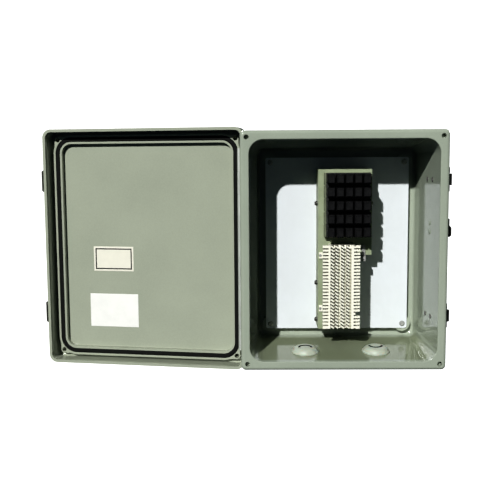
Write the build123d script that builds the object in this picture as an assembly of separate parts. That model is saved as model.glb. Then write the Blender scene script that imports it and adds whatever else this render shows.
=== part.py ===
"""Wall-mounted telephone terminal cabinet, its door swung open past half a turn.

X runs to the right, Y into the wall and Z up, in millimetres. The origin lies on the wall, midway
between the four feet. Depths are measured backwards from the flat face of the box's mouth flange.
"""

import os
from math import copysign, radians, tan

from build123d import *

# Box, moulded in one piece
open_w = 274.0
open_h = 324.0
open_r = 21.0
wall = 4.0
draft_deg = 5.3
box_depth = 131.0
back_r = 5.0
flange_land = 13.0
flange_t = 10.0
flange_r = 7.0
flange_edge_r = 5.0
mouth_edge_r = 1.5
corner_hole_r = 3.5
corner_hole_deep = 9.0
corner_hole_inset = 9.4
overrun = 2.0

# Feet on the back
foot_t = 3.0
foot_w = 24.0
foot_inset_x = 32.0
foot_out = 9.0
foot_hole_r = 4.0
foot_end = 8.0
foot_in = 54.0
foot_screw_in = 40.0
foot_screw_r = 2.4
foot_screw_deep = 8.0
foot_head_r = 5.0
fit = 0.1

# Panel on its four pads
panel_gap_x = 24.25
panel_gap_z = 25.5
panel_r = 3.0
panel_t = 2.0
panel_stand = 11.0
panel_screw_inset = 7.5
pad_r = 13.0
screw_r = 2.4
screw_deep = 7.0
screw_head_r = 4.3
screw_head_h = 2.8
dome_share = 0.6

# Chassis of folded sheet, wider behind the protectors than behind the block
chassis_left = -32.5
chassis_drop = 18.0
chassis_wide_w = 82.0
chassis_slim_w = 58.5
chassis_wide_h = 131.5
chassis_len = 247.0
chassis_rise = 43.0
sheet = 1.5
fold_relief = 2.0
side_screw_rise = 24.0
side_screw_r = 1.9
side_head_r = 4.0
side_head_h = 4.2
side_screw_places = (53.0, 177.0, 235.5)
base_screw_inset = 20.0

# Protector field
module_columns = 5
module_rows = 5
module_pitch_x = 13.4
module_pitch_z = 20.0
module_w = 11.3
module_h = 13.8
module_out = 41.0
module_head = 17.0
module_edge = 1.2
module_neck_w = 9.6
module_neck_h = 12.0
module_seat = 6.0
module_dish = 0.8
module_dish_inset = 2.4
field_x = 11.1
field_drop = 53.9
socket_rise = 13.0
socket_margin = 1.6
socket_notch = 3.0

# Quick-clip terminal block
row_count = 25
row_pitch = 5.08
block_x = 1.9
block_drop = 177.5
block_w = 38.0
block_rise = 23.0
comb_reach_left = 10.0
comb_reach_right = 8.2
comb_t = 6.0
comb_rise = 29.0
tooth_gap = 2.1
lost_tooth = 20
clip_shares = (-0.38, -0.205, 0.025, 0.24)
clip_w = 5.6
clip_t = 2.2
clip_h = 7.0
clip_turn_deg = 35.0
ear_w = 9.5
ear_t = 3.0
ear_reach = 4.0
ear_shares = (0.36, -0.29)
ear_screw_r = 1.3
ear_head_r = 2.1
ear_head_h = 1.6

# Ground lug beside the block
lug_w = 6.0
lug_h = 24.0
lug_t = 1.5
lug_from_right = 12.5
lug_hang = 9.0
lug_block = 8.0
lug_screw_inset = 6.0

# Cable bushings in the floor
bushing_x = 107.4
bushing_depth = 47.5
bushing_rim_r = 19.1
bushing_rim_t = 2.4
bushing_dome_h = 9.6
bushing_dome_r = 17.4
bushing_round = 6.4
bushing_neck_r = 15.0
bushing_wall = 2.2
bushing_lip = 2.0
bushing_slit_w = 1.6
bushing_slit_r = 8.6
bushing_slit_back = 1.2
bushing_slit_end_r = 1.5

# Door, moulded in one piece
skirt_gap = 2.2
skirt_wall = 4.3
skirt_reach = 20.0
skirt_r = 13.0
door_face = 9.0
door_wall = 4.0
door_edge_r = 5.0
seal_offset = 4.2
seal_w = 7.0
seal_r = 25.0
rib_t = 3.2
rib_gap = 0.6
seal_gap = 0.4
seal_round = 2.0
boss_r = 5.2
boss_side = 31.0

# Continuous hinge
hinge_out = 1.5
hinge_depth = 25.0
hinge_end = 25.0
hinge_knuckles = 9
knuckle_r = 2.8
pin_r = 1.4
pin_fit = 0.05
knuckle_gap = 0.4
leaf_t = 1.2
door_leaf_reach = 12.0
base_leaf_w = 7.4
hinge_rivet_r = 1.6
hinge_rivet_head_r = 2.6
hinge_rivet_head_h = 1.0
hinge_rivet_deep = 3.0
hinge_rivet_count = 5
open_deg = 189.5

# Latches and padlock eye on the right-hand side
latch_in = 59.5
latch_pad = 1.2
latch_h = 36.0
bracket_t = 4.0
bracket_front = 33.0
bracket_back = 76.0
latch_rivet_depths = (39.0, 64.0)
latch_rivet_r = 2.0
latch_rivet_head_r = 3.6
latch_rivet_head_h = 1.4
latch_rivet_sink = 0.4
pivot_out = 15.6
pivot_depth = 46.0
pivot_r = 1.3
ear_boss_r = 2.8
hub_r = 5.8
latch_ear_t = 8.9
latch_side_gap = 0.5
lever_swing_deg = 180.0
lever_t = 4.0
lever_w = 16.0
nose_t = 3.6
hook_air = 0.6
strap_front = 8.0
strap_back = 13.0
strap_t = 2.2
strap_out = 6.4
strap_foot = 8.0
strap_slope = 3.0
keeper_pad_t = 1.6
keeper_rivet_r = 1.5
keeper_rivet_head_r = 2.4
keeper_rivet_head_h = 1.0
eye_z = 31.0
eye_h = 27.0
eye_tab_h = 14.0
eye_step = 3.0
eye_front = 36.0
eye_back = 62.0
eye_t = 4.0
eye_out = 20.0
eye_r = 4.0
eye_hole_r = 3.6
eye_rim = 4.0

# Worked out from the sizes above
face_depth = foot_t + wall + box_depth
shell_depth = box_depth + wall
slope = tan(radians(draft_deg))
flange_w = open_w + 2 * flange_land
flange_h = open_h + 2 * flange_land
foot_hole_x = open_w - 2 * foot_inset_x
foot_hole_z = open_h + 2 * foot_out
foot_inner_z = open_h / 2 - foot_in
foot_screw_z = open_h / 2 - foot_screw_in
panel_w = open_w - 2 * panel_gap_x
panel_h = open_h - 2 * panel_gap_z
panel_depth = box_depth - panel_stand - panel_t
plate_depth = panel_depth - chassis_rise
chassis_top = panel_h / 2 - chassis_drop
chassis_bottom = chassis_top - chassis_len
chassis_step = chassis_top - chassis_wide_h
chassis_wide_x = chassis_left + chassis_wide_w
chassis_slim_x = chassis_left + chassis_slim_w
field_z = chassis_top - field_drop
block_z = chassis_top - block_drop
side_x = open_w / 2 + wall + latch_pad
latch_z = open_h - 2 * latch_in
hinge_len = flange_h - 2 * hinge_end
skirt_in_w = flange_w + 2 * skirt_gap
skirt_in_h = flange_h + 2 * skirt_gap
door_w = skirt_in_w + 2 * skirt_wall
door_h = skirt_in_h + 2 * skirt_wall
hinge_x = -(flange_w / 2 + hinge_out)
hinge_y = hinge_depth - face_depth


def at_depth(depth):
    """The plane across X and Z at a depth behind the flange face."""
    return Plane.XZ.offset(face_depth - depth)


def slab(outline, front, back):
    """An outline in X and Z carried from one depth to another."""
    return extrude(at_depth(back) * outline, amount=back - front)


def block(x_low, x_high, front, back, z_low, z_high):
    """A rectangular block between two places on each axis."""
    middle = Pos((x_low + x_high) / 2, (z_low + z_high) / 2)
    return slab(middle * Rectangle(x_high - x_low, z_high - z_low), front, back)


def post(x, z, radius, front, back):
    """A round post along Y."""
    return slab(Pos(x, z) * Circle(radius), front, back)


def rod_x(depth, z, radius, x_low, x_high):
    """A round rod along X."""
    plane = Plane.YZ.offset(x_low)
    return extrude(plane * (Pos(depth - face_depth, z) * Circle(radius)), amount=x_high - x_low)


def rod_z(x, depth, radius, z_low, z_high):
    """A round rod along Z."""
    plane = Plane.XY.offset(z_low)
    return extrude(plane * (Pos(x, depth - face_depth) * Circle(radius)), amount=z_high - z_low)


def screw(x, z, seat, head_r, head_h, shank_r, deep):
    """A round-headed screw along Y whose head bears on the seat and points to the front."""
    head = slab(Pos(x, z) * Circle(head_r), seat - head_h, seat)
    rim = head.faces().sort_by(Axis.Y)[0].edges()
    head = chamfer(rim, head_h * dome_share, head_r - head_r * dome_share)
    return head + post(x, z, shank_r, seat, seat + deep)


def corners(width, height):
    """The four corners of a centred rectangle."""
    return [(sx * width / 2, sz * height / 2) for sx in (-1, 1) for sz in (-1, 1)]


def save(name, *solids):
    """Write one node, of one solid or of a group of like solids."""
    shape = solids[0] if len(solids) == 1 else Compound(children=list(solids))
    export_step(shape, f"parts/{name}.step")


# Box


def drafted(width, height, radius, depth, back_radius):
    """A rounded block that narrows by the draft from its mouth to its rounded back."""
    narrow = depth * slope
    back = RectangleRounded(width - 2 * narrow, height - 2 * narrow, radius - narrow)
    body = extrude(at_depth(depth) * back, amount=depth, taper=-draft_deg)
    return fillet(body.faces().sort_by(Axis.Y)[-1].edges(), back_radius)


def panel_screw_places():
    return corners(panel_w - 2 * panel_screw_inset, panel_h - 2 * panel_screw_inset)


def flange_hole_places():
    return corners(flange_w - 2 * corner_hole_inset, flange_h - 2 * corner_hole_inset)


def foot_screw_places():
    return corners(foot_hole_x, 2 * foot_screw_z)


def base_box():
    """Walls with a flat mouth flange, pads inside for the panel and flats outside for the latches."""
    outer = drafted(open_w + 2 * wall, open_h + 2 * wall, open_r + wall, shell_depth, back_r + wall)
    flange = slab(RectangleRounded(flange_w, flange_h, flange_r), 0, flange_t)
    flange = fillet(flange.faces().sort_by(Axis.Y)[0].edges(), flange_edge_r)
    box = outer + flange
    for z in (latch_z / 2, -latch_z / 2):
        box += block(0, side_x, bracket_front, bracket_back, z - latch_h / 2, z + latch_h / 2)
    box += block(0, side_x, eye_front, eye_back, eye_z - eye_h / 2, eye_z + eye_h / 2)
    box -= drafted(open_w, open_h, open_r, box_depth, back_r)
    mouth = box.faces().sort_by(Axis.Y)[0].inner_wires()[0].edges()
    box = fillet(mouth, mouth_edge_r)
    for x, z in panel_screw_places():
        box += post(x, z, pad_r, box_depth - panel_stand, box_depth + overrun)
    for x, z in panel_screw_places():
        box -= post(x, z, screw_r + fit, panel_depth, panel_depth + screw_deep + fit)
    for x, z in foot_screw_places():
        box -= post(x, z, foot_screw_r + fit, shell_depth - foot_screw_deep, shell_depth + overrun)
    for x, z in flange_hole_places():
        box -= post(x, z, corner_hole_r, -overrun, corner_hole_deep)
    for x in (-bushing_x / 2, bushing_x / 2):
        box -= floor_hole(x)
    for depth, z in latch_rivet_places() + eye_rivet_places():
        seat = rivet_seat(depth)
        box -= rod_x(depth, z, latch_rivet_head_r + fit, seat - overrun, seat)
        box -= rod_x(depth, z, latch_rivet_r + fit, seat - overrun, side_x + overrun)
    for z in hinge_rivet_zs():
        deep = flange_t - hinge_rivet_deep - fit
        box -= post(base_rivet_x(), z, hinge_rivet_r + fit, deep, flange_t + overrun)
    return box


def mounting_foot(x, z):
    """A flat steel strip, rounded at its free end, with a wall hole and a countersunk screw hole."""
    side = 1 if z > 0 else -1
    end_z = side * (foot_hole_z / 2 + foot_end)
    start_z = side * foot_inner_z
    low, high = min(start_z, end_z), max(start_z, end_z)
    strip = block(x - foot_w / 2, x + foot_w / 2, shell_depth, face_depth, low, high)
    free = strip.edges().filter_by(Axis.Y).group_by(Axis.Z)[-1 if z > 0 else 0]
    strip = fillet(free, foot_end)
    strip -= post(x, side * foot_hole_z / 2, foot_hole_r, shell_depth - overrun, face_depth + overrun)
    return strip - countersunk(x, side * foot_screw_z, fit)


def countersunk(x, z, grow):
    """A flat-headed screw driven from the back, or its hole when it is grown by a clearance."""
    shank = post(x, z, foot_screw_r + grow, shell_depth - foot_screw_deep + fit, face_depth)
    cone = Cone(foot_head_r + grow, foot_screw_r + grow, foot_head_r - foot_screw_r)
    tip = (foot_head_r - foot_screw_r) / 2
    return shank + Pos(x, -tip, z) * Rot(X=90) * cone


# Panel and chassis


def chassis_outline(inset):
    """The stepped outline of the chassis, drawn in by an inset at its two sides."""
    left = chassis_left + inset
    wide = chassis_wide_x - inset
    slim = chassis_slim_x - inset
    step = chassis_step + inset
    points = [
        (left, chassis_top),
        (wide, chassis_top),
        (wide, step),
        (slim, step),
        (slim, chassis_bottom),
        (left, chassis_bottom),
    ]
    return make_face(Polyline(*points, close=True))


def chassis_walls(inset, front, back):
    """The folded sides: one down the left, two down the right with a relief at the step."""
    left = chassis_left + inset
    wide = chassis_wide_x - inset
    slim = chassis_slim_x - inset
    step = chassis_step + inset
    walls = block(left, left + sheet, front, back, chassis_bottom, chassis_top)
    walls += block(wide - sheet, wide, front, back, step, chassis_top)
    return walls + block(slim - sheet, slim, front, back, chassis_bottom, step - fold_relief)


def side_screw_sites():
    """Wall, direction and height of each screw through the folded sides."""
    sites = []
    for place in side_screw_places:
        z = chassis_top - place
        right = chassis_wide_x if place < chassis_wide_h else chassis_slim_x
        sites += [(chassis_left, -1, z), (right, 1, z)]
    return sites


def side_screw_holes(body):
    for x, _, z in side_screw_sites():
        reach = 2 * sheet + overrun
        body -= rod_x(panel_depth - side_screw_rise, z, side_screw_r + fit, x - reach, x + reach)
    return body


def base_screw_places():
    x = (chassis_left + chassis_slim_x) / 2
    return [(x, chassis_top - base_screw_inset), (x, chassis_bottom + base_screw_inset)]


def back_panel():
    """A flat steel sheet screwed to the four pads."""
    panel = slab(RectangleRounded(panel_w, panel_h, panel_r), panel_depth, panel_depth + panel_t)
    for x, z in panel_screw_places():
        panel -= post(x, z, screw_r + fit, panel_depth - overrun, panel_depth + panel_t + overrun)
    for x, z in base_screw_places():
        panel -= post(x, z, screw_r + fit, panel_depth - overrun, panel_depth + panel_t + overrun)
    return panel


def chassis_base():
    """The inner channel, flat on the panel with its sides turned forwards."""
    inset = sheet + fit
    front = plate_depth + chassis_rise / 2
    base = slab(chassis_outline(inset), panel_depth - sheet, panel_depth)
    base = side_screw_holes(base + chassis_walls(inset, front, panel_depth))
    for x, z in base_screw_places():
        base -= post(x, z, screw_r + fit, panel_depth - sheet - overrun, panel_depth + overrun)
    return base


def chassis_cover():
    """The outer channel, whose front plate carries the protectors and the terminal block."""
    cover = slab(chassis_outline(0), plate_depth, plate_depth + sheet)
    cover = side_screw_holes(cover + chassis_walls(0, plate_depth, panel_depth - fit))
    for x, z in block_screw_places():
        cover -= post(x, z, ear_screw_r + fit, plate_depth - overrun, plate_depth + sheet + overrun)
    return cover


def side_screw(x, way, z):
    """A round-headed screw along X through both folded sides."""
    depth = panel_depth - side_screw_rise
    head = rod_x(depth, z, side_head_r, *sorted((x, x + way * side_head_h)))
    rim = head.faces().sort_by(Axis.X)[-1 if way > 0 else 0].edges()
    head = chamfer(rim, side_head_h * dome_share, side_head_r - side_head_r * dome_share)
    inner = x - way * (2 * sheet + overrun)
    return head + rod_x(depth, z, side_screw_r, *sorted((x, inner)))


# Protector field


def module_places():
    """Centres of the plug-in protectors, row by row from the top."""
    places = []
    for row in range(module_rows):
        for column in range(module_columns):
            x = field_x + (column - (module_columns - 1) / 2) * module_pitch_x
            z = field_z + ((module_rows - 1) / 2 - row) * module_pitch_z
            places.append((row, column, x, z))
    return places


def socket_block():
    """A moulded base with one pocket for each protector and a notch in its sides between rows."""
    half_w = module_columns * module_pitch_x / 2 + socket_margin
    half_h = module_rows * module_pitch_z / 2 - socket_margin
    top = plate_depth - socket_rise
    base = block(field_x - half_w, field_x + half_w, top, plate_depth, field_z - half_h, field_z + half_h)
    for _, _, x, z in module_places():
        pocket = Rectangle(module_neck_w + 2 * fit, module_neck_h + 2 * fit)
        base -= slab(Pos(x, z) * pocket, top - overrun, top + module_seat)
    for row in range(1, module_rows):
        z = field_z + (module_rows / 2 - row) * module_pitch_z
        for side in (-1, 1):
            edge = field_x + side * half_w
            low, high = sorted((edge - side * socket_margin, edge + side * overrun))
            base -= block(low, high, top - overrun, plate_depth, z - socket_notch / 2, z + socket_notch / 2)
    return base


def protector_module(x, z):
    """A black plug-in unit: a neck in its pocket and a wider grip with a dished face."""
    front = plate_depth - module_out
    seat = plate_depth - socket_rise + module_seat
    grip = slab(Pos(x, z) * Rectangle(module_w, module_h), front, front + module_head)
    grip = chamfer(grip.faces().sort_by(Axis.Y)[0].edges(), module_edge)
    dish = Rectangle(module_w - 2 * module_dish_inset, module_h - 2 * module_dish_inset)
    grip -= slab(Pos(x, z) * dish, front - overrun, front + module_dish)
    return grip + slab(Pos(x, z) * Rectangle(module_neck_w, module_neck_h), front + module_head, seat)


# Terminal block and ground lug


def row_z(row):
    return block_z + ((row_count - 1) / 2 - row) * row_pitch


def block_screw_places():
    """Screws in the block's two ears, and the one in the ground lug."""
    x = block_x - block_w / 2 - comb_reach_left - ear_reach / 2
    places = [(x, block_z + share * row_count * row_pitch) for share in ear_shares]
    return places + [(chassis_wide_x - lug_from_right, chassis_step + lug_h - lug_hang - lug_screw_inset)]


def comb(root, tip, lost_row):
    """A fanning strip: a flat bar with a slot between rows, open at its outer edge."""
    half = row_count * row_pitch / 2
    front = plate_depth - comb_rise
    back = front + comb_t
    way = 1 if tip > root else -1
    bar = block(*sorted((root, tip)), front, back, block_z - half, block_z + half)
    slot = sorted((root + way * sheet, tip + way * overrun))
    for row in range(row_count - 1):
        z = row_z(row) - row_pitch / 2
        bar -= block(*slot, front - overrun, back + overrun, z - tooth_gap / 2, z + tooth_gap / 2)
    if lost_row is not None:
        z = row_z(lost_row)
        reach = (row_pitch - tooth_gap) / 2 + fit
        bar -= block(*slot, front - overrun, back + overrun, z - reach, z + reach)
    return bar


def terminal_block():
    """A moulded block with a fanning strip along each side and two screw ears on its left."""
    half = row_count * row_pitch / 2
    left = block_x - block_w / 2
    right = block_x + block_w / 2
    top = plate_depth - block_rise
    body = block(left, right, top, plate_depth, block_z - half, block_z + half)
    crest = plate_depth - comb_rise
    body += comb(left, left - comb_reach_left, None)
    body += comb(right, right + comb_reach_right, lost_tooth)
    body += block(left, left + sheet, crest, plate_depth, block_z - half, block_z + half)
    body += block(right - row_pitch, right, crest, plate_depth, block_z - half, block_z + half)
    ear_left = left - comb_reach_left - ear_reach
    for x, z in block_screw_places()[:-1]:
        body += block(ear_left, left, plate_depth - ear_t, plate_depth, z - ear_w / 2, z + ear_w / 2)
        body -= post(x, z, ear_screw_r + fit, plate_depth - ear_t - overrun, plate_depth + overrun)
    return body


def terminal_clips():
    """Slanted contact clips standing on the block, in four columns."""
    top = plate_depth - block_rise
    fin = Rot(Z=-clip_turn_deg) * Rectangle(clip_w, clip_t)
    clips = []
    for share in clip_shares:
        for row in range(row_count):
            clips.append(slab(Pos(block_x + share * block_w, row_z(row)) * fin, top - clip_h, top))
    return clips


def ground_lug():
    """A plated strip screwed to the chassis plate, with a wire block at its lower end."""
    x, z = block_screw_places()[-1]
    low = chassis_step - lug_hang
    lug = block(x - lug_w / 2, x + lug_w / 2, plate_depth - lug_t, plate_depth, low, low + lug_h)
    lug -= post(x, z, ear_screw_r + fit, plate_depth - lug_t - overrun, plate_depth + overrun)
    lug += block(x - lug_w / 2, x + lug_w / 2, plate_depth - lug_block, plate_depth, low, low + lug_block)
    wire_depth = plate_depth - (lug_block + lug_t) / 2
    return lug - rod_x(wire_depth, low + lug_block / 2, lug_w / 4, x - lug_w, x + lug_w)


# Bushings


def at_floor(x, shape):
    """Stand a shape square to the sloping floor, where a bushing goes through it."""
    floor_z = -open_h / 2 + bushing_depth * slope
    return Pos(x, bushing_depth - face_depth, floor_z) * Rot(X=draft_deg) * shape


def floor_hole(x):
    reach = wall + overrun
    return at_floor(x, Cylinder(bushing_neck_r + fit, 2 * reach))


def bushing_slit():
    """A curved slit over the back of the dome, ending in two round holes."""
    ring = Circle(bushing_slit_r + bushing_slit_w / 2) - Circle(bushing_slit_r - bushing_slit_w / 2)
    ring &= Pos(0, bushing_slit_r) * Rectangle(4 * bushing_slit_r, 2 * bushing_slit_r)
    for x in (-bushing_slit_r, bushing_slit_r):
        ring += Pos(x, 0) * Circle(bushing_slit_end_r)
    return Pos(0, bushing_slit_back, bushing_rim_t) * extrude(ring, amount=bushing_dome_h)


def cable_bushing(x):
    """A domed plastic bushing snapped into the floor, hollow, with a slit in its dome."""
    hollow_r = bushing_neck_r - bushing_wall
    under = -wall
    crown = bushing_dome_h - bushing_wall
    shoulder = bushing_dome_h - bushing_round
    points = [
        (0, bushing_dome_h),
        (0, crown),
        (hollow_r - bushing_wall, crown),
        (hollow_r, crown - bushing_wall),
        (hollow_r, under - bushing_lip),
        (bushing_neck_r + bushing_lip, under - bushing_lip),
        (bushing_neck_r, under),
        (bushing_neck_r, 0),
        (bushing_rim_r, 0),
        (bushing_rim_r, bushing_rim_t),
        (bushing_dome_r, bushing_rim_t),
        (bushing_dome_r, shoulder),
    ]
    edge = CenterArc((bushing_dome_r - bushing_round, shoulder), bushing_round, 0, 90)
    crest = Line((bushing_dome_r - bushing_round, bushing_dome_h), points[0])
    section = make_face(Plane.XZ * (Polyline(*points) + edge + crest))
    return at_floor(x, revolve(section, Axis.Z) - bushing_slit())


# Hinge


def knuckle_spans(first):
    """Ends in Z of every second knuckle, starting from the first or the second."""
    pitch = hinge_len / hinge_knuckles
    spans = []
    for number in range(first, hinge_knuckles, 2):
        low = -hinge_len / 2 + number * pitch
        spans.append((low + knuckle_gap / 2, low + pitch - knuckle_gap / 2))
    return spans


def hinge_rivet_zs():
    pitch = hinge_len / hinge_rivet_count
    return [-hinge_len / 2 + (number + 1 / 2) * pitch for number in range(hinge_rivet_count)]


def base_rivet_x():
    return hinge_x + knuckle_r + base_leaf_w / 2


def knuckle(body, span):
    return body + rod_z(hinge_x, hinge_depth, knuckle_r, *span)


def pin_bore(body):
    return body - rod_z(hinge_x, hinge_depth, pin_r + pin_fit, -hinge_len, hinge_len)


def hinge_base_leaf():
    """The leaf behind the flange, with tabs turned back to its knuckles."""
    inner = hinge_x + knuckle_r + base_leaf_w
    outer = hinge_x + knuckle_r - leaf_t
    leaf = block(outer, inner, flange_t, flange_t + leaf_t, -hinge_len / 2, hinge_len / 2)
    for low, high in knuckle_spans(0):
        leaf += block(outer, outer + leaf_t, flange_t, hinge_depth, low, high)
        leaf = knuckle(leaf, (low, high))
    for z in hinge_rivet_zs():
        leaf -= post(base_rivet_x(), z, hinge_rivet_r + fit, flange_t - overrun, flange_t + leaf_t + overrun)
    return pin_bore(leaf)


def hinge_door_leaf():
    """The leaf on the outside of the skirt, with tabs carried back and turned in to its knuckles."""
    skirt_x = -door_w / 2
    outer = skirt_x - leaf_t
    front = skirt_reach - door_leaf_reach
    leaf = block(outer, skirt_x, front, skirt_reach, -hinge_len / 2, hinge_len / 2)
    for low, high in knuckle_spans(1):
        leaf += block(outer, skirt_x, front, hinge_depth + leaf_t / 2, low, high)
        leaf += block(outer, hinge_x, hinge_depth - leaf_t / 2, hinge_depth + leaf_t / 2, low, high)
        leaf = knuckle(leaf, (low, high))
    for z in hinge_rivet_zs():
        leaf -= rod_x(door_rivet_depth(), z, hinge_rivet_r + fit, outer - overrun, skirt_x + overrun)
    return pin_bore(leaf)


def door_rivet_depth():
    return skirt_reach - door_leaf_reach / 2


def hinge_base_rivet(z):
    """A rivet driven into the flange from behind."""
    back = flange_t + leaf_t
    head = post(base_rivet_x(), z, hinge_rivet_head_r, back, back + hinge_rivet_head_h)
    return head + post(base_rivet_x(), z, hinge_rivet_r, flange_t - hinge_rivet_deep, back)


def hinge_door_rivet(z):
    """A rivet driven into the skirt from its outside."""
    outer = -door_w / 2 - leaf_t
    head = rod_x(door_rivet_depth(), z, hinge_rivet_head_r, outer - hinge_rivet_head_h, outer)
    return head + rod_x(door_rivet_depth(), z, hinge_rivet_r, outer, -door_w / 2 + hinge_rivet_deep)


# Door


def seal_ring(width_in, width_out, front, back):
    """A rounded ring around the seal line, from one offset of the mouth's edge to another."""
    outer = RectangleRounded(
        open_w + 2 * width_out, open_h + 2 * width_out, seal_r + width_out - seal_offset - seal_w / 2
    )
    inner = RectangleRounded(
        open_w + 2 * width_in, open_h + 2 * width_in, seal_r + width_in - seal_offset - seal_w / 2
    )
    return slab(outer - inner, front, back)


def door_cover():
    """A shallow tray with a deep skirt, two ribs that hold the seal and a boss at each corner."""
    outer = slab(RectangleRounded(door_w, door_h, skirt_r), -door_face - door_wall, skirt_reach)
    outer = fillet(outer.faces().sort_by(Axis.Y)[0].edges(), door_edge_r)
    inside = RectangleRounded(skirt_in_w, skirt_in_h, skirt_r - skirt_wall)
    tray = outer - slab(inside, -door_face, skirt_reach + overrun)
    seal_in = seal_offset - seal_w / 2
    seal_out = seal_offset + seal_w / 2
    tray += seal_ring(seal_in - rib_t, seal_in, -door_face, -rib_gap)
    tray += seal_ring(seal_out, seal_out + rib_t, -door_face, -rib_gap)
    bosses = None
    for x, z in flange_hole_places():
        inward = boss_side / 2 - boss_r
        middle = Pos(x - copysign(inward, x), z - copysign(inward, z))
        boss = slab(middle * RectangleRounded(boss_side, boss_side, boss_r), -door_face, -rib_gap)
        bosses = boss if bosses is None else bosses + boss
    inside_seal = RectangleRounded(open_w + 2 * seal_out, open_h + 2 * seal_out, seal_r)
    tray += bosses - slab(inside_seal, -door_face - overrun, overrun)
    for x, z in flange_hole_places():
        tray -= post(x, z, corner_hole_r, -door_face - door_wall - overrun, overrun)
    for z in hinge_rivet_zs():
        deep = -door_w / 2 + hinge_rivet_deep + fit
        tray -= rod_x(door_rivet_depth(), z, hinge_rivet_r + fit, -door_w / 2 - overrun, deep)
    for depth, z in keeper_rivet_places():
        deep = door_w / 2 - hinge_rivet_deep - fit
        tray -= rod_x(depth, z, keeper_rivet_r + fit, deep, door_w / 2 + overrun)
    return tray


def door_gasket():
    """The rubber seal lying between the ribs, rounded where it meets the flange."""
    seal_in = seal_offset - seal_w / 2 + fit
    seal_out = seal_offset + seal_w / 2 - fit
    seal = seal_ring(seal_in, seal_out, -door_face, -seal_gap)
    return fillet(seal.faces().sort_by(Axis.Y)[-1].edges(), seal_round)


def swung_open(shape):
    """Turn a door piece about the hinge from shut to where the door stands open."""
    return shape.rotate(Axis((hinge_x, hinge_y, 0), (0, 0, 1)), -open_deg)


# Latches


def latch_rivet_places():
    return [(depth, z) for z in (latch_z / 2, -latch_z / 2) for depth in latch_rivet_depths]


def eye_rivet_places():
    middle = (eye_front + eye_back) / 2
    return [(middle, eye_z - eye_h / 4), (middle, eye_z + eye_h / 4)]


def keeper_rivet_places():
    middle = (strap_front + strap_back) / 2
    return [
        (middle, side * latch_z / 2 + end * (latch_h / 2 + strap_foot / 2))
        for side in (-1, 1)
        for end in (-1, 1)
    ]


def pivot_x():
    return side_x + pivot_out


def latch_bracket(z):
    """A moulded plate on the side wall with two ears that hold the lever's pin."""
    low, high = z - latch_h / 2, z + latch_h / 2
    plate = block(side_x, side_x + bracket_t, bracket_front, bracket_back, low, high)
    for end, way in ((low, 1), (high, -1)):
        ear = sorted((end, end + way * latch_ear_t))
        boss = rod_z(pivot_x(), pivot_depth, ear_boss_r, *ear)
        web = block(side_x, pivot_x(), pivot_depth - ear_boss_r, pivot_depth + ear_boss_r, *ear)
        plate += boss + web
    for depth, rivet_z in latch_rivet_places():
        plate -= rod_x(depth, rivet_z, latch_rivet_r + fit, side_x - overrun, side_x + bracket_t + overrun)
    return plate - rod_z(pivot_x(), pivot_depth, pivot_r + fit, low - overrun, high + overrun)


def latch_pin(z):
    return rod_z(pivot_x(), pivot_depth, pivot_r, z - latch_h / 2, z + latch_h / 2)


def hooked_lever(z):
    """The lever as it lies when hooked over the door's strap: an arm with a turned-in nose."""
    half = latch_h / 2 - latch_ear_t - latch_side_gap
    arm_in = door_w / 2 + strap_out + hook_air
    nose_back = strap_front - hook_air
    nose_front = nose_back - nose_t
    arm = block(arm_in, arm_in + lever_t, nose_front, pivot_depth, z - lever_w / 2, z + lever_w / 2)
    nose = block(door_w / 2 + strap_t, arm_in, nose_front, nose_back, z - lever_w / 2, z + lever_w / 2)
    hub = rod_z(pivot_x(), pivot_depth, hub_r, z - half, z + half)
    back = pivot_depth + lever_t / 2
    neck = block(pivot_x(), arm_in + lever_t, pivot_depth - lever_t, back, z - half, z + half)
    lever = arm + nose + hub + neck
    return lever - rod_z(pivot_x(), pivot_depth, pivot_r + pin_fit, z - latch_h, z + latch_h)


def released(lever):
    """Turn a hooked lever back about its pin until it lies along the side of the box."""
    return lever.rotate(Axis((pivot_x(), pivot_depth - face_depth, 0), (0, 0, 1)), lever_swing_deg)


def rivet_seat(depth):
    """The place in X of the flat sunk in the sloping wall for a rivet's inner head."""
    return open_w / 2 - (depth - latch_rivet_head_r - fit) * slope + latch_rivet_sink


def latch_rivet(depth, z, outside):
    """A rivet through the side wall, headed outside and set inside."""
    inside = rivet_seat(depth)
    outer = rod_x(depth, z, latch_rivet_head_r, outside, outside + latch_rivet_head_h)
    inner = rod_x(depth, z, latch_rivet_head_r, inside - latch_rivet_head_h, inside)
    return outer + inner + rod_x(depth, z, latch_rivet_r, inside, outside)


def padlock_eye():
    """A small moulded plate with an eye standing out of it."""
    low, high = eye_z - eye_h / 2, eye_z + eye_h / 2
    plate = block(side_x, side_x + eye_t, eye_front, eye_back, low, high)
    out = side_x + eye_out
    step = out - eye_step
    points = [
        (side_x, low),
        (out, low),
        (out, low + eye_tab_h),
        (step, low + eye_tab_h + eye_step),
        (step, high),
        (side_x, high),
    ]
    tab = slab(make_face(Polyline(*points, close=True)), eye_front, eye_front + eye_t)
    tab = fillet(tab.edges().filter_by(Axis.Y).group_by(Axis.X)[-1], eye_r)
    plate += tab
    hole_x = out - eye_rim - eye_hole_r
    hole_z = low + eye_tab_h / 2
    plate -= post(hole_x, hole_z, eye_hole_r, eye_front - overrun, eye_front + eye_t + overrun)
    for depth, z in eye_rivet_places():
        plate -= rod_x(depth, z, latch_rivet_r + fit, side_x - overrun, side_x + eye_t + overrun)
    return plate


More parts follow.
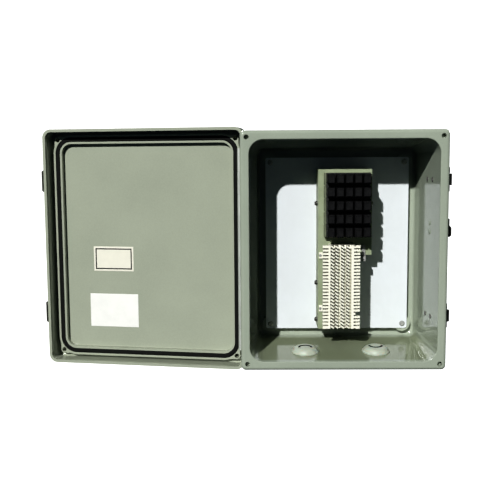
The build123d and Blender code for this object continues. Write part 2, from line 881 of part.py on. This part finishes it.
def latch_keeper(z):
    """A strap with slanted legs on the skirt's free side, held by a rivet in each foot."""
    outer = door_w / 2
    half = latch_h / 2
    points = [
        (outer, -half - strap_foot),
        (outer + keeper_pad_t, -half - strap_foot),
        (outer + keeper_pad_t, -half),
        (outer + strap_out, -half + strap_slope),
        (outer + strap_out, half - strap_slope),
        (outer + keeper_pad_t, half),
        (outer + keeper_pad_t, half + strap_foot),
        (outer, half + strap_foot),
        (outer, half - strap_t),
        (outer + strap_out - strap_t, half - strap_slope - strap_t),
        (outer + strap_out - strap_t, -half + strap_slope + strap_t),
        (outer, -half + strap_t),
    ]
    strap = slab(Pos(0, z) * make_face(Polyline(*points, close=True)), strap_front, strap_back)
    for depth, rivet_z in keeper_rivet_places():
        strap -= rod_x(depth, rivet_z, keeper_rivet_r + fit, outer - overrun, outer + strap_out)
    return strap


def keeper_rivet(depth, z):
    seat = door_w / 2 + keeper_pad_t
    head = rod_x(depth, z, keeper_rivet_head_r, seat, seat + keeper_rivet_head_h)
    return head + rod_x(depth, z, keeper_rivet_r, door_w / 2 - hinge_rivet_deep, seat)


os.makedirs("parts", exist_ok=True)

save("base_box", base_box())
feet = corners(foot_hole_x, foot_hole_z)
save("mounting_feet", *[mounting_foot(x, z) for x, z in feet])
save("foot_screws", *[countersunk(x, z, 0) for x, z in foot_screw_places()])
save("back_panel", back_panel())
panel_fixing = (screw_head_r, screw_head_h, screw_r, screw_deep)
save("panel_screws", *[screw(x, z, panel_depth, *panel_fixing) for x, z in panel_screw_places()])
save("chassis_base", chassis_base())
base_fixing = (screw_head_r, screw_head_h, screw_r, sheet + panel_t + overrun)
save("chassis_base_screws", *[screw(x, z, panel_depth - sheet, *base_fixing) for x, z in base_screw_places()])
save("chassis_cover", chassis_cover())
save("chassis_side_screws", *[side_screw(*site) for site in side_screw_sites()])

save("socket_block", socket_block())
for row, column, x, z in module_places():
    save(f"protector_row{row + 1}_col{column + 1}", protector_module(x, z))
save("terminal_block", terminal_block())
save("terminal_clips", *terminal_clips())
save("ground_lug", ground_lug())
seats = [plate_depth - ear_t, plate_depth - ear_t, plate_depth - lug_t]
ear_fixing = (ear_head_r, ear_head_h, ear_screw_r, ear_t + sheet)
save("terminal_screws", *[screw(*p, seat, *ear_fixing) for p, seat in zip(block_screw_places(), seats)])
save("left_cable_bushing", cable_bushing(-bushing_x / 2))
save("right_cable_bushing", cable_bushing(bushing_x / 2))

save("upper_latch_bracket", latch_bracket(latch_z / 2))
save("lower_latch_bracket", latch_bracket(-latch_z / 2))
save("latch_pins", latch_pin(latch_z / 2), latch_pin(-latch_z / 2))
save("upper_latch_lever", released(hooked_lever(latch_z / 2)))
save("lower_latch_lever", released(hooked_lever(-latch_z / 2)))
save("padlock_eye", padlock_eye())
rivets = [latch_rivet(depth, z, side_x + bracket_t) for depth, z in latch_rivet_places()]
rivets += [latch_rivet(depth, z, side_x + eye_t) for depth, z in eye_rivet_places()]
save("latch_rivets", *rivets)

save("hinge_base_leaf", hinge_base_leaf())
save("hinge_base_rivets", *[hinge_base_rivet(z) for z in hinge_rivet_zs()])
save("hinge_pin", rod_z(hinge_x, hinge_depth, pin_r, -hinge_len / 2, hinge_len / 2))
save("hinge_door_leaf", swung_open(hinge_door_leaf()))
save("hinge_door_rivets", *[swung_open(hinge_door_rivet(z)) for z in hinge_rivet_zs()])
save("door_cover", swung_open(door_cover()))
save("door_gasket", swung_open(door_gasket()))
save("upper_latch_keeper", swung_open(latch_keeper(latch_z / 2)))
save("lower_latch_keeper", swung_open(latch_keeper(-latch_z / 2)))
save("keeper_rivets", *[swung_open(keeper_rivet(depth, z)) for depth, z in keeper_rivet_places()])
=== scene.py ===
from math import cos, radians, sin, tan

import bmesh
import bpy
import numpy as np
from mathutils import Matrix, Vector


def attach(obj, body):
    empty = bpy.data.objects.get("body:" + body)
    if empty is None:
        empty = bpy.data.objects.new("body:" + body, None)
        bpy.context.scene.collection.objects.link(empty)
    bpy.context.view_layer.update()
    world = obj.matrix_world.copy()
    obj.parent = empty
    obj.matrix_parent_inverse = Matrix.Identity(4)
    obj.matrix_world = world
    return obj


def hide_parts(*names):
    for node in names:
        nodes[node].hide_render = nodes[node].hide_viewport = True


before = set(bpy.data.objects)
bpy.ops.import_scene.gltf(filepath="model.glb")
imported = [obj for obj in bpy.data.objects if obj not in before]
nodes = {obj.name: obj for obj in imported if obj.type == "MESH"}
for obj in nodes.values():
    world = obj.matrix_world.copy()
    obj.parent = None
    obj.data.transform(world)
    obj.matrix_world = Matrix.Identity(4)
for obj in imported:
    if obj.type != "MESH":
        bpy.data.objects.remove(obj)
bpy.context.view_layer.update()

# Box: one deep moulding in grey-green glass-filled polyester, with a flat flange round its mouth.
# It left the mould with a satin skin, faint clouding from the fibre and a light orange peel.
# Its floor is darkened with painted shade. Sizes here and below are in millimetres, and meshes are in
# metres.
mm_per_m = 1000
mouth_y = -138.0
floor_at_mouth_z = -162.0
floor_tilt_deg = 5.3
# Painted shade on the box's floor: where it thins out, and its tone.
floor_shade_fades = (3.0, 12.0)
floor_shade_under = -1.5
floor_shade_front = (4.0, 12.0)
floor_shade_back = (114.0, 122.0)
floor_shade_tone = (0.235, 0.262, 0.182)
box_tones = (0.315, 0.350, 0.285), (0.353, 0.390, 0.318)


class Shade:
    """One socket of a material's nodes: arithmetic on it adds Math nodes, and node() adds any other."""

    def __init__(self, tree, socket=None):
        self.tree = tree
        self.socket = socket

    def node(self, kind, settings=None, sockets=None, out=0):
        """Add a node of a kind, make its settings, fill its sockets and hand on one of its outputs."""
        made = self.tree.nodes.new("ShaderNode" + kind)
        for name, value in (settings or {}).items():
            setattr(made, name, value)
        for name, value in (sockets or {}).items():
            if isinstance(value, Shade):
                self.tree.links.new(value.socket, made.inputs[name])
            else:
                made.inputs[name].default_value = value
        return Shade(self.tree, made.outputs[out] if made.outputs else None)

    def math(self, operation, *values):
        """Add a Math node that works on some values."""
        return self.node("Math", {"operation": operation}, dict(enumerate(values)))

    def __add__(self, other):
        return self.math("ADD", self, other)

    def __sub__(self, other):
        return self.math("SUBTRACT", self, other)

    def __rsub__(self, other):
        return self.math("SUBTRACT", other, self)

    def __mul__(self, other):
        return self.math("MULTIPLY", self, other)

    def __lt__(self, other):
        return self.math("LESS_THAN", self, other)

    def __gt__(self, other):
        return self.math("GREATER_THAN", self, other)

    def __abs__(self):
        return self.math("ABSOLUTE", self)

    __radd__ = __add__
    __rmul__ = __mul__


def new_finish(name):
    """A new material, with the piece's own coordinates in millimetres."""
    material = bpy.data.materials.new(name)
    material.use_nodes = True
    material.node_tree.nodes.clear()
    start = Shade(material.node_tree)
    metres = start.node("TexCoord", out="Object")
    return material, start.node("VectorMath", {"operation": "SCALE"}, {0: metres, "Scale": mm_per_m})


def axis(place, letter):
    """One coordinate of a place."""
    return place.node("SeparateXYZ", {}, {"Vector": place}, out=letter)


def speckle(place, size, detail=2.0, noise_rough=0.5):
    """Noise whose features are about one size across, in millimetres."""
    sockets = {"Vector": place, "Scale": 1 / size, "Detail": detail, "Roughness": noise_rough}
    return place.node("TexNoise", {}, sockets)


def spread(value, low, high):
    """Stretch a value so that low becomes 0 and high becomes 1, held between them."""
    sockets = {"Value": value, "From Min": low, "From Max": high}
    return value.node("MapRange", {"clamp": True}, sockets)


def tint(factor, first, second):
    """A colour between two, by a factor from 0 to 1."""
    ends = {0: factor, 6: first if isinstance(first, Shade) else (*first, 1)}
    ends[7] = second if isinstance(second, Shade) else (*second, 1)
    return factor.node("Mix", {"data_type": "RGBA"}, ends, out=2)


def relief(height, depth, strength=0.3):
    """Bump from a height between 0 and 1, of a depth in millimetres."""
    sockets = {"Height": height, "Distance": depth / mm_per_m, "Strength": strength}
    return height.node("Bump", {}, sockets)


def close(material, place, colour, rough, bump=None, **fixed):
    """End a material in its shader. What is in fixed is the same all over the surface."""
    sockets = {"Base Color": colour, "Roughness": rough}
    if bump is not None:
        sockets["Normal"] = bump
    sockets.update({name.replace("_", " "): value for name, value in fixed.items()})
    shader = place.node("BsdfPrincipled", {}, sockets)
    place.node("OutputMaterial", {}, {"Surface": shader})
    return material


def dress(material, *names):
    """Give CAD nodes a finish in place of their plain one."""
    for name in names:
        nodes[name].data.materials.clear()
        nodes[name].data.materials.append(material)


def floor_painted_shade(place):
    """How strongly painted shade darkens the box: full on the sloping floor, thinning out above it and
    towards its two ends.
    """
    depth = axis(place, "Y") - mouth_y
    over_floor = axis(place, "Z") - floor_at_mouth_z - depth * tan(radians(floor_tilt_deg))
    low_down = (1 - spread(over_floor, *floor_shade_fades)) * (over_floor > floor_shade_under)
    return low_down * spread(depth, *floor_shade_front) * (1 - spread(depth, *floor_shade_back))


def shell_finish(name, tones, shaded_floor):
    """Moulded polyester between two tones, darkened by painted shade on its floor if it is the box's."""
    material, place = new_finish(name)
    clouds = spread(speckle(place, size=70, detail=3), low=0.3, high=0.7)
    fibres = spread(speckle(place, size=2.2, detail=3, noise_rough=0.6), low=0.35, high=0.65)
    colour = tint(clouds * 0.6 + fibres * 0.4, *tones)
    if shaded_floor:
        # Painted shade: the floor turns a darker olive.
        colour = tint(floor_painted_shade(place), colour, floor_shade_tone)
    peel = relief(speckle(place, size=1.3), depth=0.02, strength=0.15)
    return close(material, place, colour, 0.085 + clouds * 0.05, peel, Specular_IOR_Level=0.75)


dress(shell_finish("floor_shaded_polyester", box_tones, shaded_floor=True), "base_box")

# Feet: flat strips of zinc-plated steel behind the box, each held by a countersunk screw.
# The plating is dull, with a fine directionless grain and slightly darker blotches.
# The screws of the panel, the chassis and the terminal block are plated in the same way.


def mottled(name, tones, size, levels, rough, grain=None, detail=3, noise_rough=0.5, **fixed):
    """A finish in blotches of a size, from the first tone to the second between two levels of the noise.

    rough holds the roughness of both tones, and grain the size and the depth of a fine relief.
    """
    material, place = new_finish(name)
    blotch = spread(speckle(place, size, detail, noise_rough), *levels)
    smooth, dull = rough
    bump = None
    if grain is not None:
        grain_size, grain_depth = grain
        bump = relief(speckle(place, grain_size), grain_depth)
    return close(material, place, tint(blotch, *tones), smooth + blotch * (dull - smooth), bump, **fixed)


zinc_tones = (0.37, 0.375, 0.36), (0.50, 0.505, 0.485)
zinc = mottled(
    "dull_zinc_plate", zinc_tones, size=9, levels=(0.3, 0.7), rough=(0.34, 0.50), grain=(0.25, 0.02),
    detail=4, noise_rough=0.6, Metallic=0.4,
)
dress(zinc, "mounting_feet", "foot_screws", "panel_screws", "chassis_base_screws", "terminal_screws")

# Back panel: a sheet of steel in white enamel, screwed to four pads in the box.
# The enamel is smooth, with a soft orange peel and a faint blue cast.
enamel_tones = (0.635, 0.662, 0.675), (0.60, 0.625, 0.63)
enamel = mottled(
    "white_enamel", enamel_tones, size=45, levels=(0.35, 0.75), rough=(0.30, 0.45), grain=(4.5, 0.06),
    detail=4, noise_rough=0.6,
)
dress(enamel, "back_panel")

# Chassis: two folded channels of sheet steel in a pale olive chromate finish.
# The inner one is screwed to the panel, and the outer one, held by dark screws, carries the rest.
olive_tones = (0.255, 0.293, 0.190), (0.310, 0.350, 0.238)
olive = mottled(
    "pale_olive_plate", olive_tones, size=14, levels=(0.3, 0.7), rough=(0.42, 0.54), grain=(0.4, 0.02),
    detail=4, noise_rough=0.6, Metallic=0.1,
)
dress(olive, "chassis_base", "chassis_cover")
dark_screw_tones = (0.035, 0.036, 0.030), (0.20, 0.20, 0.18)
dark_screw = mottled(
    "dark_screw", dark_screw_tones, size=2, levels=(0.4, 0.7), rough=(0.25, 0.45), grain=(0.3, 0.01),
    Metallic=0.5,
)
dress(dark_screw, "chassis_side_screws")

# Protector sockets: one olive moulding with a pocket for each plug-in unit.
# It is the chassis's tone, darker, with a fine matt texture, and painted shade makes it black between the
# pockets.
pocket_x = -21.3
pocket_y = -75.5
socket_tones = (0.115, 0.132, 0.082), (0.145, 0.162, 0.105)
pocket_shade_tone = (0.010, 0.011, 0.009)
moulded_olive, place = new_finish("olive_moulding")
mottle = spread(speckle(place, size=6, detail=3), low=0.3, high=0.7)
# Painted shade: the front of the moulding among the pockets is black.
shaded_among_pockets = (axis(place, "X") > pocket_x) * (axis(place, "Y") < pocket_y)
socket_colour = tint(shaded_among_pockets, tint(mottle, *socket_tones), pocket_shade_tone)
socket_texture = relief(speckle(place, size=0.5), depth=0.03, strength=0.4)
close(moulded_olive, place, socket_colour, 0.55, socket_texture)
dress(moulded_olive, "socket_block")

# Protectors: black plug-in units, each moulded with a dished face to pull it by.
# The plastic is satin, with rubbed and slightly dusty faces.
black_tones = (0.005, 0.005, 0.0055), (0.011, 0.011, 0.011)
black = mottled(
    "black_moulding", black_tones, size=5, levels=(0.4, 0.75), rough=(0.5, 0.7), grain=(0.4, 0.02),
    detail=4, noise_rough=0.65, Specular_IOR_Level=0.25,
)
dress(black, *[name for name in nodes if name.startswith("protector_row")])

# Terminal block: a cream moulding with a fanning strip down each side, and a dark web behind the left strip.
# It has yellowed a little, and the trough, the web and the slots' roots are dark with painted shade.
trough_y = -86.0
trough_half = 2.0
clip_columns = (-12.5, -5.9, 2.9, 11.0)
column_half = 2.7
comb_y = -92.0
comb_room = 0.5
row_pitch = 5.08
slot_z = -61.54
slot_share = 0.2
root_x = 22.6
root_w = 3.0
cream_tones = (0.79, 0.78, 0.67), (0.73, 0.715, 0.60)
trough_shade_tone = (0.10, 0.10, 0.075)
root_shade_tone = (0.03, 0.03, 0.024)
cream, place = new_finish("cream_moulding")
yellowed = spread(speckle(place, size=18, detail=4, noise_rough=0.6), low=0.35, high=0.7)
across = axis(place, "X")
into = axis(place, "Y")
in_column = sum(abs(across - column) < column_half for column in clip_columns)
# Painted shade: the trough's floor between the fins is dark.
in_shaded_trough = (abs(into - trough_y) < trough_half) * in_column
row_turn = (axis(place, "Z") - slot_z) * (1 / row_pitch) + 0.5
in_slot = abs(row_turn.math("FRACT", row_turn) - 0.5) < slot_share
# Painted shade: the roots of the right strip's slots are near black.
in_shaded_root = in_slot * (across > root_x - root_w) * (across < root_x) * (into < comb_y + comb_room)
cream_colour = tint(in_shaded_trough, tint(yellowed, *cream_tones), trough_shade_tone)
cream_colour = tint(in_shaded_root, cream_colour, root_shade_tone)
close(cream, place, cream_colour, 0.45 + yellowed * 0.1, relief(speckle(place, size=0.5), depth=0.02))
dress(cream, "terminal_block")

# A dark sheet of painted shade behind the left strip: its sizes and tones.
web_low, web_high = -122.4, 4.4
web_left, web_right = -26.8, -17.2
web_front, web_back = -85.95, -85.2
web_shade_tones = (0.035, 0.035, 0.027), (0.07, 0.07, 0.055)
weld_gap = 0.001


def grid_piece(name, points, material, body, uv=None, smooth=True):
    """A surface through a grid of points, row by row, with an optional UV value at each point.

    Points that fall together are welded, which closes the seams and the poles, and the faces are
    turned outwards.
    """
    rows, columns = points.shape[:2]
    index = np.arange(rows * columns).reshape(rows, columns)
    corners = [index[:-1, :-1], index[:-1, 1:], index[1:, 1:], index[1:, :-1]]
    quads = np.stack(corners, axis=-1).reshape(-1, 4)
    mesh = bpy.data.meshes.new(name)
    mesh.from_pydata(points.reshape(-1, 3) / mm_per_m, [], quads.tolist())
    if uv is not None:
        layer = mesh.uv_layers.new(name="UVMap")
        layer.data.foreach_set("uv", uv.reshape(-1, 2)[quads.reshape(-1)].ravel())
    skin = bmesh.new()
    skin.from_mesh(mesh)
    bmesh.ops.remove_doubles(skin, verts=skin.verts, dist=weld_gap / mm_per_m)
    bmesh.ops.recalc_face_normals(skin, faces=skin.faces)
    skin.to_mesh(mesh)
    skin.free()
    mesh.polygons.foreach_set("use_smooth", np.full(len(mesh.polygons), smooth))
    mesh.materials.append(material)
    piece = bpy.data.objects.new(name, mesh)
    bpy.context.scene.collection.objects.link(piece)
    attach(piece, body)
    return piece


def strip_web(name, material):
    """A closed bar: a rectangle in x and y, carried up from web_low to web_high and shut at both ends."""
    near_left, near_right = (web_left, web_front), (web_right, web_front)
    far_left, far_right = (web_left, web_back), (web_right, web_back)
    section = np.array([near_left, near_right, far_right, far_left, near_left])
    shut = np.broadcast_to(section.mean(axis=0), section.shape)
    outlines = np.stack([shut, section, section, shut])
    heights = np.array([web_low, web_low, web_high, web_high])
    z = np.repeat(heights[:, None], len(section), axis=1)
    grid_piece(name, np.dstack([outlines, z]), material, "cabinet", smooth=False)


# Painted shade: the dark sheet makes the left strip's slots show dark.
web_shade_finish = mottled("painted_shade_web", web_shade_tones, size=3, levels=(0.35, 0.7), rough=(0.7, 0.9))
strip_web("left_strip_shade_web", web_shade_finish)

# Clips: slanted spring contacts in cream shrouds, in four columns down the block.
# The ground lug beside the block is bare plated metal that has dulled.
tin_tones = (0.34, 0.34, 0.32), (0.50, 0.50, 0.47)
dull_tin = mottled(
    "dull_tin", tin_tones, size=3, levels=(0.35, 0.7), rough=(0.4, 0.6), grain=(0.3, 0.01), Metallic=0.6,
)
dress(cream, "terminal_clips")
dress(dull_tin, "ground_lug")

# Bushings: soft off-white plastic caps that snap into the floor, each slit across its top for a cable.
# A cap is a low dome on a thin rim, and the two were turned different ways when they were pushed in.
bushing_x = 53.7
bushing_y = -90.5
bushing_z = -157.6
dome_r = 19.8
dome_h = 6.2
dome_steps = 80
rim_r = 21.0
rim_h = 2.0
rim_round = 0.6
rim_bevel = 0.1
neck_r = 15.0
neck_h = 4.0
lip_r = 17.0
lip_h = 6.0
bore_r = 12.8
bore_edge_h = 4.2
bore_top_h = 5.6
crease_share = 0.04
turn_steps = 180
slit_r = 9.5
slit_w = 3.0
slit_deep = 2.0
left_slit_out = -5.5
right_slit_out = 3.5
cap_tones = (0.43, 0.465, 0.39), (0.375, 0.405, 0.335)
slit_shade_tone = (0.008, 0.009, 0.007)


def cap_finish(name, x, slit_y, way):
    """Soft plastic, with painted shade in black along a half-round slit about a point in front of or behind
    the middle of the cap.
    """
    material, place = new_finish(name)
    smudge = spread(speckle(place, size=10, detail=4, noise_rough=0.6), low=0.35, high=0.75)
    across = axis(place, "X") - x
    along = (axis(place, "Y") - slit_y) * way
    square = across * across + along * along
    in_slit = (abs(square.math("SQRT", square) - slit_r) < slit_w / 2) * (along > 0)
    # Painted shade: the slit is black.
    colour = tint(in_slit, tint(smudge, *cap_tones), slit_shade_tone)
    pores = relief(speckle(place, size=0.8), depth=0.03)
    soft = {"Subsurface_Weight": 0.1, "Subsurface_Scale": 0.002}
    return close(material, place, colour, 0.38 + smudge * 0.1, pores, **soft)


def cap(name, x, slit_out, way, node):
    """A closed turned form: a flat dome on a rim, with a neck, a snap lip and a hollow under the dome.

    The dome's height at a radius r is rim_h + dome_h (1 - (r / dome_r)^6). The slit is a half-round
    groove in the dome, where |hypot(dx, dy) - slit_r| < slit_w / 2. A point close to each end of an
    edge keeps the shading of the edge flat.
    """
    radii = np.linspace(0.0, dome_r, dome_steps)
    dome = np.stack([radii, rim_h + dome_h * (1 - (radii / dome_r) ** 6)], axis=-1)
    rim = [(rim_r - rim_round, rim_h - rim_bevel), (rim_r - rim_bevel, rim_h - rim_round), (rim_r, 0.0)]
    neck = [(neck_r, 0.0), (neck_r, -neck_h), (lip_r, -lip_h)]
    hollow = [(bore_r, -lip_h), (bore_r, bore_edge_h), (0.0, bore_top_h)]
    corners = np.array(rim + neck + hollow)
    crease = np.diff(corners, axis=0) * crease_share
    edges = np.stack([corners[:-1], corners[:-1] + crease, corners[1:] - crease], axis=1).reshape(-1, 2)
    profile = np.concatenate([dome, edges, corners[-1:]])
    turns = np.linspace(0, 2 * np.pi, turn_steps + 1)
    radius, angle = np.meshgrid(profile[:, 0], turns, indexing="ij")
    flat_x = radius * np.cos(angle)
    flat_y = radius * np.sin(angle)
    along = (flat_y - slit_out) * way
    in_slit = (np.abs(np.hypot(flat_x, along) - slit_r) < slit_w / 2) & (along > 0)
    in_slit[len(dome):] = False
    height = profile[:, 1:] - slit_deep * in_slit
    tilt = radians(floor_tilt_deg)
    y = bushing_y + flat_y * cos(tilt) - height * sin(tilt)
    z = bushing_z + flat_y * sin(tilt) + height * cos(tilt)
    material = cap_finish(name + "_soft_white", x, bushing_y + slit_out, way)
    piece = grid_piece(name, np.stack([x + flat_x, y, z], axis=-1), material, "cabinet")
    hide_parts(node)


cap("left_cap", -bushing_x, left_slit_out, 1, "left_cable_bushing")
cap("right_cap", bushing_x, right_slit_out, -1, "right_cable_bushing")

# Hinge: a continuous stainless hinge, its leaves riveted behind the flange and on the door's skirt.
# The strip was brushed along its length before it was rolled.
brush_scale = (6.0, 6.0, 0.12)
stainless_tones = (0.36, 0.385, 0.34), (0.58, 0.60, 0.56)
stainless, place = new_finish("brushed_stainless")
lengthwise = place.node("Mapping", {}, {"Vector": place, "Scale": brush_scale})
brushed = spread(speckle(lengthwise, size=1.0, detail=3, noise_rough=0.6), low=0.3, high=0.7)
brushed_colour = tint(brushed, *stainless_tones)
close(stainless, place, brushed_colour, 0.36 + brushed * 0.14, relief(brushed, depth=0.01), Metallic=0.35)
dress(stainless, "hinge_base_leaf", "hinge_door_leaf", "hinge_pin")
dress(stainless, "hinge_base_rivets", "hinge_door_rivets")

# Latches: two draw latches and a padlock eye on the box's right side, with the keepers on the door.
# They are blackened steel, worn grey where they are handled. The eye's rivets are painted as the shell.
eye_rivets_z = 60.0
blackened_tones = (0.030, 0.032, 0.024), (0.058, 0.060, 0.047)
greyed_tones = (0.085, 0.083, 0.066), (0.145, 0.140, 0.115)
rivet_tones = (0.05, 0.05, 0.042), (0.24, 0.24, 0.225)
painted_tone = (0.30, 0.335, 0.27)


def worn_steel(name, tones, metallic):
    """Blackened steel, rubbed lighter and rougher in small patches."""
    return mottled(
        name, tones, size=4, levels=(0.35, 0.75), rough=(0.38, 0.58), grain=(0.5, 0.02),
        detail=4, noise_rough=0.65, Metallic=metallic,
    )


blackened = worn_steel("blackened_steel", blackened_tones, 0.3)
greyed = worn_steel("greyed_steel", greyed_tones, 0.2)
dress(blackened, "upper_latch_keeper", "lower_latch_keeper", "keeper_rivets")
dress(greyed, "upper_latch_bracket", "lower_latch_bracket", "upper_latch_lever", "lower_latch_lever")
dress(greyed, "padlock_eye", "latch_pins")
rivet_end, place = new_finish("rivet_ends")
worn = spread(speckle(place, size=2, detail=3), low=0.35, high=0.75)
painted = abs(axis(place, "Z")) < eye_rivets_z
rivet_colour = tint(painted, tint(worn, *rivet_tones), painted_tone)
close(rivet_end, place, rivet_colour, 0.3 + worn * 0.2, relief(speckle(place, size=0.5), depth=0.02))
dress(rivet_end, "latch_rivets")

# Door: a shallow cover in the box's polyester, hung on the hinge and standing open to the left.
# The screw holes in its corners are blind, so a disc closes each one at its outer end.
hinge_x = -151.5
hinge_y = -113.0
open_deg = 189.5
corner_x = 140.6
corner_z = 165.6
hole_r = 3.45
hole_floor_depth = -11.4
hole_back_depth = -12.8
hole_steps = 32
door_tones = (0.326, 0.350, 0.280), (0.365, 0.390, 0.312)
polyester = shell_finish("grey_green_polyester", door_tones, shaded_floor=False)
dress(polyester, "door_cover")


def swung_open(x, depth, z):
    """Points on the shut door, with their depth from the mouth, turned about the hinge to the open door."""
    angle = -radians(open_deg)
    dx = x - hinge_x
    dy = depth + mouth_y - hinge_y
    turned_x = hinge_x + dx * cos(angle) - dy * sin(angle)
    turned_y = hinge_y + dx * sin(angle) + dy * cos(angle)
    return np.stack([turned_x, turned_y, z], axis=-1)


def hole_floor(name, x, z):
    """The floor of a blind hole: a flat disc, turned from a rectangle between two depths."""
    radius = np.array([0.0, hole_r, hole_r, 0.0])[:, None]
    depths = np.array([hole_floor_depth, hole_floor_depth, hole_back_depth, hole_back_depth])
    turns = np.linspace(0, 2 * np.pi, hole_steps + 1)
    depth = np.repeat(depths[:, None], len(turns), axis=1)
    points = swung_open(x + radius * np.cos(turns), depth, z + radius * np.sin(turns))
    grid_piece(name, points, polyester, "door")


for side_name, x in (("hinge", -corner_x), ("latch", corner_x)):
    for end_name, z in (("lower", -corner_z), ("upper", corner_z)):
        hole_floor(f"{end_name}_{side_name}_hole_floor", x, z)

# Seal: a strip of black foam rubber pressed between the door's two ribs.
# The foam has closed cells, which show as a fine matt grain.
cell_size = 0.6
foam_tones = (0.006, 0.0065, 0.006), (0.014, 0.015, 0.013)
foam, place = new_finish("black_foam_rubber")
cells = place.node("TexVoronoi", {}, {"Vector": place, "Scale": 1 / cell_size})
foam_grain = relief(cells, depth=0.1, strength=0.5)
close(foam, place, tint(cells, *foam_tones), 0.8, foam_grain, Specular_IOR_Level=0.2)
dress(foam, "door_gasket")

# Labels: two blank white stickers on the inside of the door, the upper one with a plain border.
# They are thin vinyl with a rounded edge, and lie flat on the moulding.
door_face_depth = -9.0
edge_in = np.array([0.0, 0.0, 0.3, 1.0])
edge_rise = np.array([0.0, 0.08, 0.13, 0.15])
upper_label = (24.6, 89.7, -39.0, -0.3)
lower_label = (18.4, 97.3, -127.8, -75.3)
border_from, border_to = 2.9, 4.7
border_tone = (0.012, 0.012, 0.012)
cream_paper = (0.70, 0.685, 0.585)
white_paper = (0.76, 0.76, 0.715)
aged_share = 0.93


def label_finish(name, extent, paper, border):
    """White vinyl, faintly yellowed, with a printed line round it if it has a border."""
    material, place = new_finish(name)
    aged = spread(speckle(place, size=20, detail=4, noise_rough=0.6), low=0.35, high=0.7)
    colour = tint(aged, paper, [aged_share * level for level in paper])
    if border:
        left, right, low, high = extent
        half_wide = (right - left) / 2
        half_tall = (high - low) / 2
        on_label = place.node("UVMap", {"uv_map": "UVMap"})
        side_gap = half_wide - abs(axis(on_label, "X") - half_wide)
        end_gap = half_tall - abs(axis(on_label, "Y") - half_tall)
        gap = side_gap.math("MINIMUM", side_gap, end_gap)
        colour = tint((gap > border_from) * (gap < border_to), colour, border_tone)
    wave = relief(speckle(place, size=3), depth=0.03, strength=0.2)
    return close(material, place, colour, 0.38 + aged * 0.1, wave)


def label(name, extent, material):
    """A sticker: a closed pillow whose edge turns down to the door over its last millimetre.

    Its height is the smaller of the rises from the sides and from the ends, and its back is flat.
    """
    left, right, low, high = extent
    across = np.concatenate([left + edge_in, right - edge_in[::-1]])
    up = np.concatenate([low + edge_in, high - edge_in[::-1]])
    rise = np.concatenate([edge_rise, edge_rise[::-1]])
    front_x, front_z = np.meshgrid(across, up, indexing="ij")
    front = np.minimum(rise[:, None], rise[None, :])
    x = np.concatenate([front_x, front_x[::-1]])
    z = np.concatenate([front_z, front_z])
    lift = np.concatenate([front, np.zeros_like(front)])
    uv = np.stack([x - left, z - low], axis=-1)
    grid_piece(name, swung_open(x, door_face_depth + lift, z), material, "door", uv)


label("upper_door_label", upper_label, label_finish("bordered_label", upper_label, cream_paper, True))
label("lower_door_label", lower_label, label_finish("blank_label", lower_label, white_paper, False))

# Studio: a plain white floor well below the cabinet, and hard sunlight from the upper left.
# Two weaker, softer lights from behind and from the right reach the sides that face away.
# The floor's sizes are in metres.
floor_z = -0.62
floor_half = 9.0
pale, place = new_finish("pale_floor")
glow = place.node("Emission", {}, {"Color": (1, 1, 1, 1), "Strength": 1.05})
matt = place.node("BsdfDiffuse", {}, {"Color": (0.8, 0.8, 0.8, 1)})
place.node("OutputMaterial", {}, {"Surface": place.node("MixShader", {}, {0: 0.04, 1: glow, 2: matt})})
floor_corners = [(x * floor_half, y * floor_half, floor_z) for x, y in ((-1, -1), (1, -1), (1, 1), (-1, 1))]
mesh = bpy.data.meshes.new("floor")
mesh.from_pydata(floor_corners, [], [(0, 1, 2, 3)])
mesh.materials.append(pale)
floor = bpy.data.objects.new("floor", mesh)
bpy.context.scene.collection.objects.link(floor)
floor.visible_diffuse = False
floor.visible_glossy = False


def sun(name, travels, strength, spread_deg):
    """A distant light that travels in a direction."""
    lamp = bpy.data.lights.new(name, "SUN")
    lamp.energy = strength
    lamp.angle = radians(spread_deg)
    light = bpy.data.objects.new(name, lamp)
    light.rotation_euler = Vector(travels).to_track_quat("-Z", "Y").to_euler()
    bpy.context.scene.collection.objects.link(light)


sun("key", travels=(0.361, 1.0, -0.583), strength=3.35, spread_deg=1.2)
sun("rear", travels=(0.25, -1.0, -0.55), strength=1.6, spread_deg=12.0)
sun("side", travels=(-1.0, -0.2, -0.35), strength=0.8, spread_deg=12.0)

world = bpy.data.worlds.new("studio")
bpy.context.scene.world = world
world.use_nodes = True
world.node_tree.nodes.clear()
sky = Shade(world.node_tree)
seen = sky.node("LightPath", out="Is Camera Ray")
fill = sky.node("Background", {}, {"Color": (0.58, 0.78, 1.0, 1), "Strength": 0.042})
white = sky.node("Background", {}, {"Color": (1, 1, 1, 1), "Strength": 1.0})
sky.node("OutputWorld", {}, {"Surface": sky.node("MixShader", {}, {0: seen, 1: fill, 2: white})})
bpy.context.scene.view_settings.view_transform = "Standard"
bpy.context.scene.view_settings.look = "High Contrast"

# Camera: in front of the box, a little to its left and above, as the photograph was taken.
# Its place is in metres and its turns are in radians.
camera_place = (-0.11717, -1.27948, 0.130)
yaw, pitch, roll = -0.0165, -0.1103, -0.0067
focal_px = 794.16
picture_px = 500
sensor_mm = 36.0
forward = np.array([sin(yaw) * cos(pitch), cos(yaw) * cos(pitch), sin(pitch)])
level = np.array([cos(yaw), -sin(yaw), 0.0])
upright = np.cross(level, forward)
right = cos(roll) * level + sin(roll) * upright
up = cos(roll) * upright - sin(roll) * level
lens = bpy.data.cameras.new("camera")
lens.sensor_width = sensor_mm
lens.lens = focal_px / picture_px * sensor_mm
camera = bpy.data.objects.new("camera", lens)
stance = np.eye(4)
stance[:3] = np.column_stack([right, up, -forward, camera_place])
camera.matrix_world = Matrix(stance.tolist())
bpy.context.scene.collection.objects.link(camera)
bpy.context.scene.camera = camera
